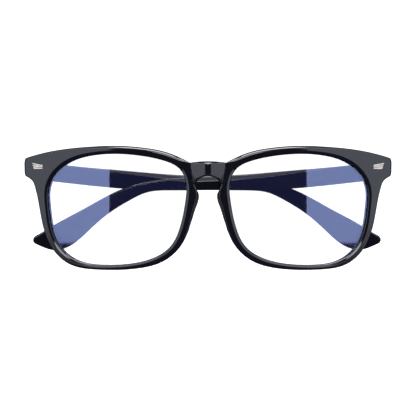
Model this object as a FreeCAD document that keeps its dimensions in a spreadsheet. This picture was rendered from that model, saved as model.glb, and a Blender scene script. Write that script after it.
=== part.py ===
import FreeCAD, Part
import math
import os

from FreeCAD import Placement, Rotation, Vector

# Full-rim reading glasses with plain blue-light lenses, folded shut.
# Millimetres, +Z up, the face of the frame looks along -Y and +X is the wearer's left.
# The origin is under the middle of the folded pair, level with the lowest point of the rims.

doc = FreeCAD.newDocument("blue_light_glasses")

# ---------------------------------------------------------------- driving dimensions
DIMENSIONS = [
    ("face_y", -12.85, "foremost line of the curved face, before the bridge bulge"),
    ("face_radius", 220.0, "radius of the face, bent about a vertical axis"),
    ("rim_depth", 4.2, "front to back through the rims"),
    ("butt_depth", 17.0, "face to the plane where an open temple meets the end piece"),
    ("return_x", 66.7, "inner wall of the end piece's return"),
    ("return_low_z", 36.1, "underside of the end piece's return"),
    ("seat_x", 60.2, "start of the flat hinge seat behind the end piece"),
    ("seat_depth", 2.9, "hinge seat, from the butt plane"),
    ("bulge", 2.0, "how far the bridge stands out of the face"),
    ("bulge_half_width", 6.7, "half the width of the bridge's bulge"),
    ("groove", 0.8, "how far a lens reaches into the rim"),
    ("lens_setback", 1.2, "lens front behind the face"),
    ("lens_thick", 1.8, "lens thickness"),
    ("hinge_x", 64.9, "hinge axis from the middle"),
    ("barrel_radius", 1.5, "hinge knuckle radius"),
    ("barrel_low_z", 36.5, "underside of the lowest knuckle"),
    ("barrel_tall", 1.86, "height of one knuckle"),
    ("barrel_gap", 0.06, "gap between knuckles"),
    ("leaf_thick", 0.8, "thickness of a hinge leaf"),
    ("screw_radius", 0.7, "hinge screw shank radius"),
    ("bore_clear", 0.05, "play between screw and the turning knuckle"),
    ("head_radius", 1.25, "hinge screw head radius"),
    ("head_tall", 0.6, "hinge screw head height"),
    ("front_leaf_x", 60.8, "inner end of the leaf on the front"),
    ("front_leaf_wide", 4.8, "width of the leaf on the front"),
    ("leaf_low_z", 37.0, "underside of both leaves"),
    ("leaf_tall", 4.7, "height of both leaves"),
    ("web_wide", 1.6, "width of the web between a leaf and its knuckles"),
    ("rivet_radius", 0.5, "hinge rivet shank radius"),
    ("rivet_long", 2.4, "hinge rivet length under its head"),
    ("rivet_head", 0.85, "hinge rivet head radius"),
    ("rivet_proud", 0.25, "hinge rivet head height"),
    ("plaque_thick", 0.9, "plaque thickness, front to back"),
    ("plaque_proud", 0.35, "how far a plaque stands out of the face"),
    ("plaque_pin", 0.45, "plaque pin radius"),
    ("plaque_pin_long", 2.0, "plaque pin length behind the plate"),
    ("pad_start", 2.0, "face to the front of a nose pad"),
    ("pad_deep", 6.2, "front to back through a nose pad, before it is trimmed to the rim"),
    ("pad_long", 11.5, "half height of the dome that rounds off a nose pad"),
    ("pad_wide", 5.0, "half width of that dome"),
    ("pad_round", 5.8, "depth of that dome"),
    ("temple_thick", 4.2, "temple thickness at the hinge"),
    ("temple_inset", 1.9, "hinge axis to the inner face of the temple"),
    ("temple_gap", 0.05, "gap at the butt joint when open"),
    ("inner_bow", 1900.0, "bow radius of the temple's inner face"),
    ("outer_bow", 1500.0, "bow radius of the temple's outer face"),
    ("lean", 4.0, "degrees by which the upper temple lies over the lower one"),
    ("wire_tall", 1.6, "height of the flat core wire"),
    ("wire_thick", 0.9, "thickness of the flat core wire"),
]
sheet = doc.addObject("Spreadsheet::Sheet", "sizes")
for row, (alias, value, note) in enumerate(DIMENSIONS, start=1):
    sheet.set(f"A{row}", alias)
    sheet.set(f"B{row}", str(value))
    sheet.setAlias(f"B{row}", alias)
    sheet.set(f"C{row}", note)
doc.recompute()


def size(alias):
    """A driving dimension, read back from the sheet."""
    return float(sheet.get(alias))


def cell(expression):
    """An expression in which every alias of the sheet is a cell."""
    for alias in sorted((d[0] for d in DIMENSIONS), key=len, reverse=True):
        expression = expression.replace(f"<{alias}>", f"sizes.{alias}")
    return expression


BUTT_Y = size("face_y") + size("butt_depth")
SIDES = {"left": 1, "right": -1}
ROOMY = 60.0  # longer than any piece is high
JOINT = 1e-6

# ---------------------------------------------------------------- outlines, seen from the front (x, z)
# Lens opening of the wearer's left eye, anticlockwise from the temple side.
APERTURE = [
    (62.2, 25.0), (62.2, 31.6), (59.5, 37.2), (54.0, 41.7), (45.2, 44.3), (35.4, 44.9), (25.5, 44.0),
    (16.5, 42.0), (11.0, 39.0), (8.6, 34.0), (8.8, 26.5), (10.9, 16.5), (14.6, 9.2), (21.0, 4.9),
    (30.0, 2.6), (41.2, 2.1), (50.3, 3.5), (56.7, 7.7), (60.5, 14.9),
]
BRIDGE_TOP = [(-6.9, 41.5), (0.0, 42.1), (6.9, 41.5)]
BROW = [
    (6.9, 41.5), (9.2, 42.7), (12.4, 44.2), (16.6, 45.7), (26.5, 47.5), (35.4, 48.1), (45.6, 47.8),
    (55.6, 46.9), (66.1, 44.9), (70.0, 43.8),
]
TOP_CORNER = [(70.0, 43.8), (71.1, 43.2), (71.4, 42.3)]
END_SIDE = [(71.4, 42.3), (71.5, 39.7), (71.3, 37.1)]
LOW_CORNER = [(71.3, 37.1), (71.0, 36.4), (70.4, 36.1)]
CHEEK = [
    (70.4, 36.1), (68.7, 34.8), (67.4, 31.9), (66.3, 27.3), (64.8, 19.2), (62.9, 12.7), (59.6, 6.9),
    (53.4, 2.0), (44.0, 0.2), (35.3, 0.04), (27.0, 0.65), (18.2, 3.0), (10.7, 9.2), (7.1, 17.0),
    (5.0, 25.5), (4.1, 29.2), (5.1, 32.9),
]
KEYHOLE = [(5.1, 32.9), (0.0, 36.3), (-5.1, 32.9)]
# Temple of the wearer's right side, folded, with its length along +X.
TEMPLE_TOP = [
    (-64.9, 42.6), (-61.5, 41.7), (-57.0, 41.0), (-34.7, 38.9), (-11.0, 37.0), (0.0, 36.5), (12.2, 35.7),
    (22.4, 34.4), (28.6, 33.1), (34.7, 31.0), (48.0, 24.0), (61.3, 16.7), (66.3, 13.7),
]
TEMPLE_TIP = [(66.3, 13.7), (68.4, 11.7), (66.3, 9.5)]
TEMPLE_HEEL = [(66.3, 9.5), (60.0, 7.5), (55.3, 8.5)]
TEMPLE_UNDER = [
    (55.3, 8.5), (46.2, 15.6), (37.0, 23.2), (30.5, 27.1), (23.9, 30.1), (16.0, 30.9), (0.0, 31.0),
    (-20.8, 31.0), (-34.4, 31.7), (-57.0, 34.0), (-64.9, 34.9),
]
WIRE_LINE = [(-50.0, 37.2), (-11.0, 34.1), (14.0, 32.9), (31.0, 29.6), (52.0, 15.6)]
# Plaque on the end piece, in its own plane: x away from the nose, z up, from its middle.
PLAQUE = [(2.45, 1.35), (1.75, 0.75), (2.0, 0.35), (1.4, -0.2), (1.65, -0.6), (1.15, -1.25), (-2.3, -1.2),
          (-2.3, 0.45)]
PLAQUE_X = 66.4
PLAQUE_Z = 40.2
PLAQUE_PIN_X = (-1.2, 0.7)


def flat(points, side=1):
    """Outline points as vectors in a sketch on the XZ plane."""
    return [Vector(side * x, z, 0) for x, z in points]


def curve(points, side=1):
    """A smooth curve through the points, straight through two and an arc through three."""
    places = flat(points, side)
    if len(places) == 2:
        return Part.LineSegment(*places)
    if len(places) == 3:
        return Part.Arc(*places)
    line = Part.BSplineCurve()
    line.interpolate(places)
    return line


def ring(points, side=1):
    """A smooth closed curve through the points."""
    line = Part.BSplineCurve()
    line.interpolate(flat(points, side), PeriodicFlag=True)
    return line


def polygon(points):
    """Straight edges round the points."""
    return [Part.LineSegment(a, b) for a, b in zip(points, points[1:] + points[:1])]


def origin_plane(body, role):
    return next(f for f in body.Origin.OriginFeatures if f.Role == role)


def sketch_on(body, role, name, geometry):
    """A sketch on one of the body's own origin planes."""
    sketch = body.newObject("Sketcher::SketchObject", name)
    sketch.AttachmentSupport = [(origin_plane(body, role), "")]
    sketch.MapMode = "FlatFace"
    for piece in geometry:
        sketch.addGeometry(piece, False)
    return sketch


def pad(body, sketch, name, length, backwards=False, midplane=False):
    feature = body.newObject("PartDesign::Pad", name)
    feature.Profile = sketch
    feature.setExpression("Length", cell(length))
    feature.Reversed = backwards
    feature.Midplane = midplane
    sketch.Visibility = False
    return feature


def pocket(body, sketch, name, length, backwards=False, midplane=False):
    """A pocket, checked to have cut something."""
    doc.recompute()
    before = body.Shape.Volume
    feature = body.newObject("PartDesign::Pocket", name)
    feature.Profile = sketch
    feature.setExpression("Length", cell(length))
    feature.Reversed = backwards
    feature.Midplane = midplane
    doc.recompute()
    if body.Shape.Volume > before - JOINT:
        raise RuntimeError(f"{name} cut nothing")
    return feature


def bound(kind, name, **sizes):
    """A Part primitive whose sizes are expressions on the sheet."""
    feature = doc.addObject(f"Part::{kind}", name)
    for prop, expression in sizes.items():
        feature.setExpression(prop, cell(str(expression)))
    return feature


def place(feature, x, y, z):
    """Binds a feature's position to expressions on the sheet."""
    for axis, expression in zip("xyz", (x, y, z)):
        feature.setExpression(f"Placement.Base.{axis}", cell(str(expression)))
    return feature


def combine(kind, name, base, tool):
    feature = doc.addObject(f"Part::{kind}", name)
    feature.Base = base
    feature.Tool = tool
    return feature


def fuse(name, shapes):
    feature = doc.addObject("Part::MultiFuse", name)
    feature.Shapes = shapes
    return feature


def upright(name, radius, x, y):
    """A tall solid cylinder about a vertical axis."""
    feature = bound("Cylinder", name, Radius=radius, Height=2 * ROOMY)
    return place(feature, x, y, -ROOMY / 2)


def grown(points, by):
    """The same closed outline, moved outwards by a distance."""
    moved = []
    for before, here, after in zip(points[-1:] + points[:-1], points, points[1:] + points[:1]):
        along = Vector(after[0] - before[0], after[1] - before[1], 0).normalize()
        moved.append((here[0] + by * along.y, here[1] - by * along.x))
    return moved


# ---------------------------------------------------------------- lenses
AXIS_Y = "<face_y> + <face_radius>"


def lens(side_name, side):
    """A lens cut to the opening plus the groove, bent like the face."""
    body = doc.addObject("PartDesign::Body", f"{side_name}_lens_blank")
    edge = ring(grown(APERTURE, size("groove")), side)
    sketch = sketch_on(body, "XZ_Plane", f"{side_name}_lens_edge", [edge])
    pad(body, sketch, f"{side_name}_lens_pad", "2 * <butt_depth> + 2 * abs(<face_y>)", midplane=True)
    outer = upright(f"{side_name}_lens_front", "<face_radius> - <lens_setback>", "0", AXIS_Y)
    inner = upright(
        f"{side_name}_lens_back", "<face_radius> - <lens_setback> - <lens_thick>", "0", AXIS_Y
    )
    shell = combine("Cut", f"{side_name}_lens_curve", outer, inner)
    made = combine("Common", f"{side_name}_lens", body, shell)
    return made


lenses = {name: lens(name, side) for name, side in SIDES.items()}

# ---------------------------------------------------------------- front
FACE_R = size("face_radius")
REAR_R = FACE_R - size("rim_depth")
CENTRE_Y = size("face_y") + FACE_R
SEAT_Y = BUTT_Y - size("seat_depth")
WIDE = 80.0  # further out than the end pieces
FAR = 60.0  # further forward or back than any piece


def bent(radius, x):
    """The point at x of a circle about the face's axis, on a sketch seen from above."""
    return Vector(x, CENTRE_Y - math.sqrt(radius ** 2 - x ** 2), 0)


def bend(radius, x_from, x_to):
    return Part.Arc(bent(radius, x_from), bent(radius, (x_from + x_to) / 2), bent(radius, x_to))


def front_outline():
    """The edges of the front's outline, both halves, and its two lens openings."""
    halves = (BROW, TOP_CORNER, END_SIDE, LOW_CORNER, CHEEK)
    edges = [curve(BRIDGE_TOP), curve(KEYHOLE)]
    edges += [curve(points, side) for side in SIDES.values() for points in halves]
    return edges + [ring(APERTURE, side) for side in SIDES.values()]


def face_waste():
    """What is cut away in front of the face: the bent face with the bridge's bulge in the middle."""
    half = size("bulge_half_width")
    nose = Vector(0, size("face_y") - size("bulge"), 0)
    left, right = bent(FACE_R, -WIDE), bent(FACE_R, WIDE)
    return [
        bend(FACE_R, -WIDE, -half),
        Part.Arc(bent(FACE_R, -half), nose, bent(FACE_R, half)),
        bend(FACE_R, half, WIDE),
        *[
            Part.LineSegment(a, b)
            for a, b in (
                (right, Vector(WIDE, -FAR, 0)),
                (Vector(WIDE, -FAR, 0), Vector(-WIDE, -FAR, 0)),
                (Vector(-WIDE, -FAR, 0), left),
            )
        ],
    ]


def rear_waste():
    """What is cut away behind the rims, up to the flat hinge seats and the butt plane."""
    step = size("seat_x") - 1.0
    steps = [bent(REAR_R, step)]
    steps += [Vector(x, y, 0) for x, y in (
        (size("seat_x"), SEAT_Y), (size("return_x"), SEAT_Y), (size("return_x"), BUTT_Y), (WIDE, BUTT_Y),
        (WIDE, FAR),
    )]
    mirrored = [Vector(-p.x, p.y, 0) for p in reversed(steps)]
    corners = steps + mirrored
    lines = [Part.LineSegment(a, b) for a, b in zip(corners, corners[1:])]
    return lines + [bend(REAR_R, -step, step)]


def cheek_waste():
    """What is cut away behind the rims under the end pieces, one loop on each side."""
    loops = []
    start = size("seat_x") - 2.0
    for side in SIDES.values():
        near, far = bent(REAR_R, side * start), bent(REAR_R, side * WIDE)
        back_far, back_near = Vector(side * WIDE, FAR, 0), Vector(side * start, FAR, 0)
        loops.append(bend(REAR_R, side * start, side * WIDE))
        loops += [
            Part.LineSegment(far, back_far),
            Part.LineSegment(back_far, back_near),
            Part.LineSegment(back_near, near),
        ]
    return loops


front = doc.addObject("PartDesign::Body", "front_blank")
outline = sketch_on(front, "XZ_Plane", "front_outline", front_outline())
pad(front, outline, "front_pad", f"{2 * FAR}", midplane=True)
for name, waste in (("face_cut", face_waste()), ("rear_cut", rear_waste())):
    pocket(front, sketch_on(front, "XY_Plane", f"{name}_line", waste), name, f"{4 * FAR}", midplane=True)
cheek_line = sketch_on(front, "XY_Plane", "cheek_cut_line", cheek_waste())
pocket(front, cheek_line, "cheek_cut", "<return_low_z>", backwards=True)

# ---------------------------------------------------------------- hinges
AXIS_X = "<hinge_x>"
PITCH = "(<barrel_tall> + <barrel_gap>)"
LEAF_TOP = size("leaf_low_z") + size("leaf_tall")
RIVET_Z = (size("leaf_low_z") + 1.05, LEAF_TOP - 1.05)
TEMPLE_LEAF = [(0.5, 37.0), (0.5, 41.4), (4.6, 40.3), (12.6, 39.4), (13.3, 38.8), (13.3, 37.0), (12.6, 36.4),
               (4.6, 36.4)]
TEMPLE_RIVETS = ((5.2, 38.4), (10.6, 37.9))
TEMPLE_WEB_X = 0.1
WEB_REACH = 0.2  # how far a web runs into its leaf and its knuckle


def knuckle(name, side, step):
    """One knuckle on the hinge axis, counted from the lowest."""
    feature = bound("Cylinder", name, Radius="<barrel_radius>", Height="<barrel_tall>")
    low = f"<barrel_low_z> + {step} * {PITCH}"
    return place(feature, f"{side} * {AXIS_X}", "<face_y> + <butt_depth>", low)


def shaft(name, side, radius, low, tall):
    feature = bound("Cylinder", name, Radius=radius, Height=tall)
    return place(feature, f"{side} * {AXIS_X}", "<face_y> + <butt_depth>", low)


def block(name, x, y, z, wide, deep, tall):
    feature = bound("Box", name, Length=wide, Width=deep, Height=tall)
    return place(feature, x, y, z)


def rivet(name, x, y, z, backwards):
    """A round-headed hinge rivet along Y: its head proud of the leaf, its shank in the plastic."""
    way = -1 if backwards else 1
    body = doc.addObject("PartDesign::Body", name)
    head, long = size("rivet_head"), size("rivet_long")
    shank, proud = size("rivet_radius"), size("rivet_proud")
    half = ((0, -way * proud), (head, -way * proud), (head, 0),
            (shank, 0), (shank, way * long), (0, way * long))
    profile = [Vector(*p, 0) for p in half]
    sketch = sketch_on(body, "XY_Plane", f"{name}_half", polygon(profile))
    turn = body.newObject("PartDesign::Revolution", f"{name}_turned")
    turn.Profile = sketch
    turn.ReferenceAxis = (sketch, ["V_Axis"])
    turn.Angle = 360.0
    body.Placement = Placement(Vector(x, y, z), Rotation())
    return body


def front_leaf(side_name, side):
    """The leaf let into the end piece, with the lower and the upper knuckle."""
    start = "<front_leaf_x>" if side > 0 else "-1 * <front_leaf_x> - <front_leaf_wide>"
    seat = "<face_y> + <butt_depth> - <seat_depth>"
    plate = block(f"{side_name}_front_plate", start, f"{seat} - <leaf_thick>", "<leaf_low_z> - 0.5",
                  "<front_leaf_wide>", "<leaf_thick>", "<leaf_tall> + 0.5")
    pieces = [plate]
    for step in (0, 2):
        low = f"<barrel_low_z> + {step} * {PITCH}"
        web = block(f"{side_name}_front_web_{step}", f"{side} * {AXIS_X} - <web_wide> / 2",
                    f"{seat} - {WEB_REACH}", low, "<web_wide>", f"<seat_depth> + {WEB_REACH}",
                    "<barrel_tall>")
        pieces += [web, knuckle(f"{side_name}_front_knuckle_{step}", side, step)]
    whole = fuse(f"{side_name}_front_leaf_solid", pieces)
    bore = shaft(f"{side_name}_front_bore", side, "<screw_radius>", "<barrel_low_z> - 1", f"3 * {PITCH} + 2")
    return combine("Cut", f"{side_name}_front_leaf_bored", whole, bore)


def temple_leaf(side_name, side):
    """The leaf let into the folded temple, with the middle knuckle."""
    inner = "<face_y> + <butt_depth> + <temple_inset>"
    body = doc.addObject("PartDesign::Body", f"{side_name}_temple_plate")
    hinge = side * size("hinge_x")
    outline = polygon([Vector(hinge - side * u, z, 0) for u, z in TEMPLE_LEAF])
    sketch = sketch_on(body, "XZ_Plane", f"{side_name}_temple_plate_line", outline)
    pad(body, sketch, f"{side_name}_temple_plate_pad", "<leaf_thick>", backwards=True)
    place(body, "0", inner, "0")
    low = f"<barrel_low_z> + {PITCH}"
    web_x = f"{side} * ({AXIS_X} - {TEMPLE_WEB_X})" + (" - <web_wide>" if side > 0 else "")
    web = block(f"{side_name}_temple_web", web_x, "<face_y> + <butt_depth>", low, "<web_wide>",
                f"<temple_inset> + {WEB_REACH}", "<barrel_tall>")
    whole = fuse(f"{side_name}_temple_leaf_solid",
                 [body, web, knuckle(f"{side_name}_temple_knuckle", side, 1)])
    bore = shaft(f"{side_name}_temple_bore", side, "<screw_radius> + <bore_clear>", "<barrel_low_z> - 1",
                 f"3 * {PITCH} + 2")
    return combine("Cut", f"{side_name}_temple_leaf_bored", whole, bore)


def hinge_screw(side_name, side):
    """The screw through the three knuckles, with a slotted head on top."""
    tall = "3 * <barrel_tall> + 2 * <barrel_gap>"
    shank = shaft(f"{side_name}_screw_shank", side, "<screw_radius>", "<barrel_low_z>", f"{tall} + 0.1")
    head = shaft(f"{side_name}_screw_head", side, "<head_radius>", f"<barrel_low_z> + {tall}", "<head_tall>")
    whole = fuse(f"{side_name}_screw_solid", [shank, head])
    slot = block(f"{side_name}_screw_slot", f"{side} * {AXIS_X} - 2", "<face_y> + <butt_depth> - 0.15",
                 f"<barrel_low_z> + {tall} + <head_tall> / 2", "4", "0.3", "1")
    return combine("Cut", f"{side_name}_screw", whole, slot)


# ---------------------------------------------------------------- temples
INNER_Y = BUTT_Y + size("temple_inset")


def bow(radius, start_y, side, u_from=-8.0, u_to=145.0):
    """A bowed line along a folded temple, seen from above, with its two ends."""
    hinge = side * size("hinge_x")

    def at(u):
        return Vector(hinge - side * u, start_y - radius + math.sqrt(radius ** 2 - u ** 2), 0)

    return Part.Arc(at(u_from), at((u_from + u_to) / 2), at(u_to)), at(u_from), at(u_to)


def shell_waste(side, inner_radius, inner_y, outer_radius, outer_y):
    """The loops to cut away on both sides of a bowed sheet."""
    edges = []
    for radius, start_y, far in ((inner_radius, inner_y, -FAR), (outer_radius, outer_y, FAR)):
        arc, near_end, far_end = bow(radius, start_y, side)
        edges += [arc] + [
            Part.LineSegment(a, b)
            for a, b in (
                (far_end, Vector(far_end.x, far, 0)),
                (Vector(far_end.x, far, 0), Vector(near_end.x, far, 0)),
                (Vector(near_end.x, far, 0), near_end),
            )
        ]
    return edges


def bowed(name, side, edges, sheet_cut):
    """A flat outline of the folded temple, cut to a bowed sheet."""
    body = doc.addObject("PartDesign::Body", name)
    sketch = sketch_on(body, "XZ_Plane", f"{name}_outline", edges)
    pad(body, sketch, f"{name}_pad", f"{2 * FAR - 10}", midplane=True)
    waste = sketch_on(body, "XY_Plane", f"{name}_sheet_line", shell_waste(side, *sheet_cut))
    pocket(body, waste, f"{name}_sheet", f"{4 * FAR}", midplane=True)
    return body


def temple_edges(side):
    """The outline of a folded temple; the drawn one is on the wearer's right."""
    butt_x = -size("hinge_x") + size("temple_gap")
    top = [(butt_x, TEMPLE_TOP[0][1])] + TEMPLE_TOP[1:]
    under = TEMPLE_UNDER[:-1] + [(butt_x, TEMPLE_UNDER[-1][1])]
    lines = (top, TEMPLE_TIP, TEMPLE_HEEL, under, [under[-1], top[0]])
    return [curve(points, -side) for points in lines]


def strip(points, wide):
    """A band of even width along a line, closed at both ends."""
    offset = []
    for before, here, after in zip(points[:1] + points[:-1], points, points[1:] + points[-1:]):
        along = Vector(after[0] - before[0], after[1] - before[1], 0).normalize()
        offset.append((here, along))
    upper = [(p[0] - a.y * wide / 2, p[1] + a.x * wide / 2) for p, a in offset]
    lower = [(p[0] + a.y * wide / 2, p[1] - a.x * wide / 2) for p, a in reversed(offset)]
    return upper, lower


def core_wire(side_name, side):
    upper, lower = strip(WIRE_LINE, size("wire_tall"))
    edges = [curve(points, -side) for points in (upper, [upper[-1], lower[0]], lower, [lower[-1], upper[0]])]
    depth = (size("temple_thick") - size("wire_thick")) / 2
    inner = (size("inner_bow") + depth, INNER_Y + depth)
    outer = (inner[0] + size("wire_thick"), inner[1] + size("wire_thick"))
    return bowed(f"{side_name}_core_wire_strip", side, edges, inner + outer)


def temple_blank(side_name, side):
    sheet_cut = (size("inner_bow"), INNER_Y, size("outer_bow"), INNER_Y + size("temple_thick"))
    return bowed(f"{side_name}_temple_blank", side, temple_edges(side), sheet_cut)


# ---------------------------------------------------------------- nose pads
PAD_OUTLINE = [
    (4.7, 31.0), (3.7, 29.8), (3.6, 28.0), (4.9, 23.4), (6.0, 19.8), (6.9, 17.1), (7.8, 14.2), (9.2, 12.9),
    (10.3, 14.2), (9.6, 18.5), (8.6, 23.5), (7.6, 28.0), (6.5, 30.7),
]
PAD_MIDDLE = (7.6, 22.2)


def nose_pad(side_name, side):
    """A pad behind the rim beside the nose, rounded off at its back."""
    body = doc.addObject("PartDesign::Body", f"{side_name}_pad_blank")
    sketch = sketch_on(body, "XZ_Plane", f"{side_name}_pad_outline", [ring(PAD_OUTLINE, side)])
    pad(body, sketch, f"{side_name}_pad_run", "<pad_deep>", backwards=True)
    place(body, "0", "<face_y> + <pad_start>", "0")
    dome = bound("Ellipsoid", f"{side_name}_pad_dome", Radius1="<pad_long>", Radius2="<pad_wide>",
                 Radius3="<pad_round>")
    place(dome, f"{side * PAD_MIDDLE[0]}", "<face_y> + <pad_start>", f"{PAD_MIDDLE[1]}")
    return combine("Common", f"{side_name}_pad_domed", body, dome)


# ---------------------------------------------------------------- plaques
def plaque(side_name, side):
    """The metal plaque on the end piece, with its two pins let into the front."""
    body = doc.addObject("PartDesign::Body", f"{side_name}_plaque")
    edges = polygon(flat(PLAQUE, side))
    pad(body, sketch_on(body, "XZ_Plane", f"{side_name}_plaque_line", edges),
        f"{side_name}_plaque_plate", "<plaque_thick>", backwards=True)
    pins = [Part.Circle(Vector(side * x, 0, 0), Vector(0, 0, 1), size("plaque_pin")) for x in PLAQUE_PIN_X]
    pad(body, sketch_on(body, "XZ_Plane", f"{side_name}_plaque_pins_line", pins),
        f"{side_name}_plaque_pins", "<plaque_thick> + <plaque_pin_long>", backwards=True)
    turn = math.degrees(math.asin(PLAQUE_X / FACE_R))
    out = Vector(side * PLAQUE_X, CENTRE_Y - math.sqrt(FACE_R ** 2 - PLAQUE_X ** 2), PLAQUE_Z)
    rotation = Rotation(Vector(0, 0, 1), side * turn)
    body.Placement = Placement(out + rotation.multVec(Vector(0, -size("plaque_proud"), 0)), rotation)
    return body


# ---------------------------------------------------------------- put together
def group(name, links, lean=0.0):
    """Separate solids under one name; on the upper temple they turn with it about its hinge."""
    feature = doc.addObject("Part::Compound", name)
    feature.Links = links
    if lean:
        centre = Vector(-size("hinge_x"), BUTT_Y, 0)
        feature.Placement = Placement(Vector(0, 0, 0), Rotation(Vector(0, 0, 1), lean), centre)
    return feature


nodes = {}
front_tools = list(lenses.values())
for side_name, side in SIDES.items():
    leaf = front_leaf(side_name, side)
    rivets = [
        rivet(f"{side_name}_front_rivet_{n}", side * (size("front_leaf_x") + 1.3), SEAT_Y, z, True)
        for n, z in enumerate(RIVET_Z, start=1)
    ]
    front_rivets = group(f"{side_name}_front_rivets", rivets)
    badge = plaque(side_name, side)
    nodes |= {
        f"{side_name}_lens": lenses[side_name],
        f"{side_name}_plaque": badge,
        f"{side_name}_front_leaf": combine("Cut", f"{side_name}_front_leaf", leaf, front_rivets),
        f"{side_name}_front_rivets": front_rivets,
        f"{side_name}_hinge_screw": hinge_screw(side_name, side),
    }
    front_tools += [badge, leaf, *rivets]

nodes["front_frame"] = combine("Cut", "front_frame", front, fuse("front_cutters", front_tools))
for side_name, side in SIDES.items():
    nodes[f"{side_name}_nose_pad"] = combine(
        "Cut", f"{side_name}_nose_pad", nose_pad(side_name, side), front
    )

for side_name, side in SIDES.items():
    lean = size("lean") if side < 0 else 0.0
    leaf = temple_leaf(side_name, side)
    wire = core_wire(side_name, side)
    rivets = [
        rivet(f"{side_name}_temple_rivet_{n}", side * (size("hinge_x") - u), INNER_Y, z, False)
        for n, (u, z) in enumerate(TEMPLE_RIVETS, start=1)
    ]
    rivet_pair = group(f"{side_name}_rivet_pair", rivets)
    cutters = fuse(f"{side_name}_temple_cutters", [leaf, wire, *rivets])
    arm = {
        "temple": combine("Cut", f"{side_name}_temple_cut", temple_blank(side_name, side), cutters),
        "temple_leaf": combine("Cut", f"{side_name}_temple_leaf_cut", leaf, rivet_pair),
        "temple_rivets": rivet_pair,
        "core_wire": wire,
    }
    for name, made in arm.items():
        nodes[f"{side_name}_{name}"] = group(f"{side_name}_{name}", [made], lean)

doc.recompute()

# ---------------------------------------------------------------- checks and export
broken = [o.Name for o in doc.Objects if {"Invalid", "Error"} & set(o.State)]
if broken:
    raise RuntimeError(f"features in error: {broken}")
for name, made in nodes.items():
    if made.Shape.isNull() or not made.Shape.isValid() or not made.Shape.Solids:
        raise RuntimeError(f"{name} has no sound solid")
os.makedirs("parts", exist_ok=True)
for name, made in nodes.items():
    made.Shape.exportStep(f"parts/{name}.step")
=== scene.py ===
# %% [markdown]
# # A folded pair of blue light glasses
# The object is a pair of full-rim reading glasses: a glossy black front with a keyhole bridge, two lenses
# with a blue coating, a ribbed metal plaque on each end piece and two temples folded behind the lenses.
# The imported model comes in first. It gives every piece its place, in metres, and the hinges their axes.

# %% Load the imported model
import math

import bmesh
import bpy
import numpy as np
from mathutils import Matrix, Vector


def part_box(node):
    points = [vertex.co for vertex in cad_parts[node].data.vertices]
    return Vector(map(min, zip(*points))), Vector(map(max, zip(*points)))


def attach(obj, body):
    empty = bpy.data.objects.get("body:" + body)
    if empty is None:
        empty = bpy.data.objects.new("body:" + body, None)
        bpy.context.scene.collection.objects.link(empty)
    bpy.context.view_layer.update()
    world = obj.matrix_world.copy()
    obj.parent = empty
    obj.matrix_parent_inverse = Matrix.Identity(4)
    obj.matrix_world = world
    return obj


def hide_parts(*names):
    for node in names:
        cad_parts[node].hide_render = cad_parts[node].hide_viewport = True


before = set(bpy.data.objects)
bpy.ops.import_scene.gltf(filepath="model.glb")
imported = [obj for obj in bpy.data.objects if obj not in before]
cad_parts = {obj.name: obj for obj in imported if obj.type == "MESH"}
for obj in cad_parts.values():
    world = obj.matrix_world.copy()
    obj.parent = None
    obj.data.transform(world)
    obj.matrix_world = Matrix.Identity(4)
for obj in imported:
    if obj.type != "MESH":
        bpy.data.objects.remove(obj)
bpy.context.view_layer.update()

# %% [markdown]
# ## The camera
# A long lens far from the pair shows it nearly without perspective: both rims look alike and upright edges
# stay upright. A short lens close by would swell the bridge. The camera looks along +Y, level with the
# middle of the rims. The face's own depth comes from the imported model.

# %% Camera
MM = 0.001
FACE_RADIUS = 220.0  # the front is bent to this radius about a vertical axis
RIM_DEPTH = 4.2
BRIDGE_PROUD = 2.0  # how far the bridge stands out of the bent face

front_low, front_high = (np.array(corner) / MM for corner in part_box("front_frame"))
FACE_Y = front_low[1] + BRIDGE_PROUD  # foremost line of the bent face
BUTT_Y = front_high[1]  # plane where an open temple meets the end piece
AXIS_Y = FACE_Y + FACE_RADIUS

VIEW_WIDE = 0.160  # metres seen across the picture at the face
EYE_AWAY = 1.0
EYE_HEIGHT = 0.024
SENSOR = 36.0  # millimetres
eye = bpy.data.cameras.new("Camera")
eye.sensor_width = SENSOR
eye.lens = SENSOR * EYE_AWAY / VIEW_WIDE
camera = bpy.data.objects.new("Camera", eye)
camera.location = (0.0, FACE_Y * MM - EYE_AWAY, EYE_HEIGHT)
camera.rotation_euler = (math.radians(90.0), 0.0, 0.0)
bpy.context.scene.collection.objects.link(camera)
bpy.context.scene.camera = camera
bpy.context.scene.view_settings.view_transform = "Standard"
print("face at", FACE_Y, "mm, butt joint at", BUTT_Y, "mm")

# %% [markdown]
# ## Smooth outlines
# Rims are cut along smooth curves, so each outline is a cubic spline through a few chosen places. A Bezier
# curve with automatic handles would be quicker, but its bend jumps at every point, and a gloss shows that as
# a kink. A spline whose second derivative is continuous has no kinks. The system of equations for its slopes
# is small, so numpy solves it directly.


# %% Cubic spline through points
CURVE_SAMPLES = 40  # for each given point, before the curve is divided evenly


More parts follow.
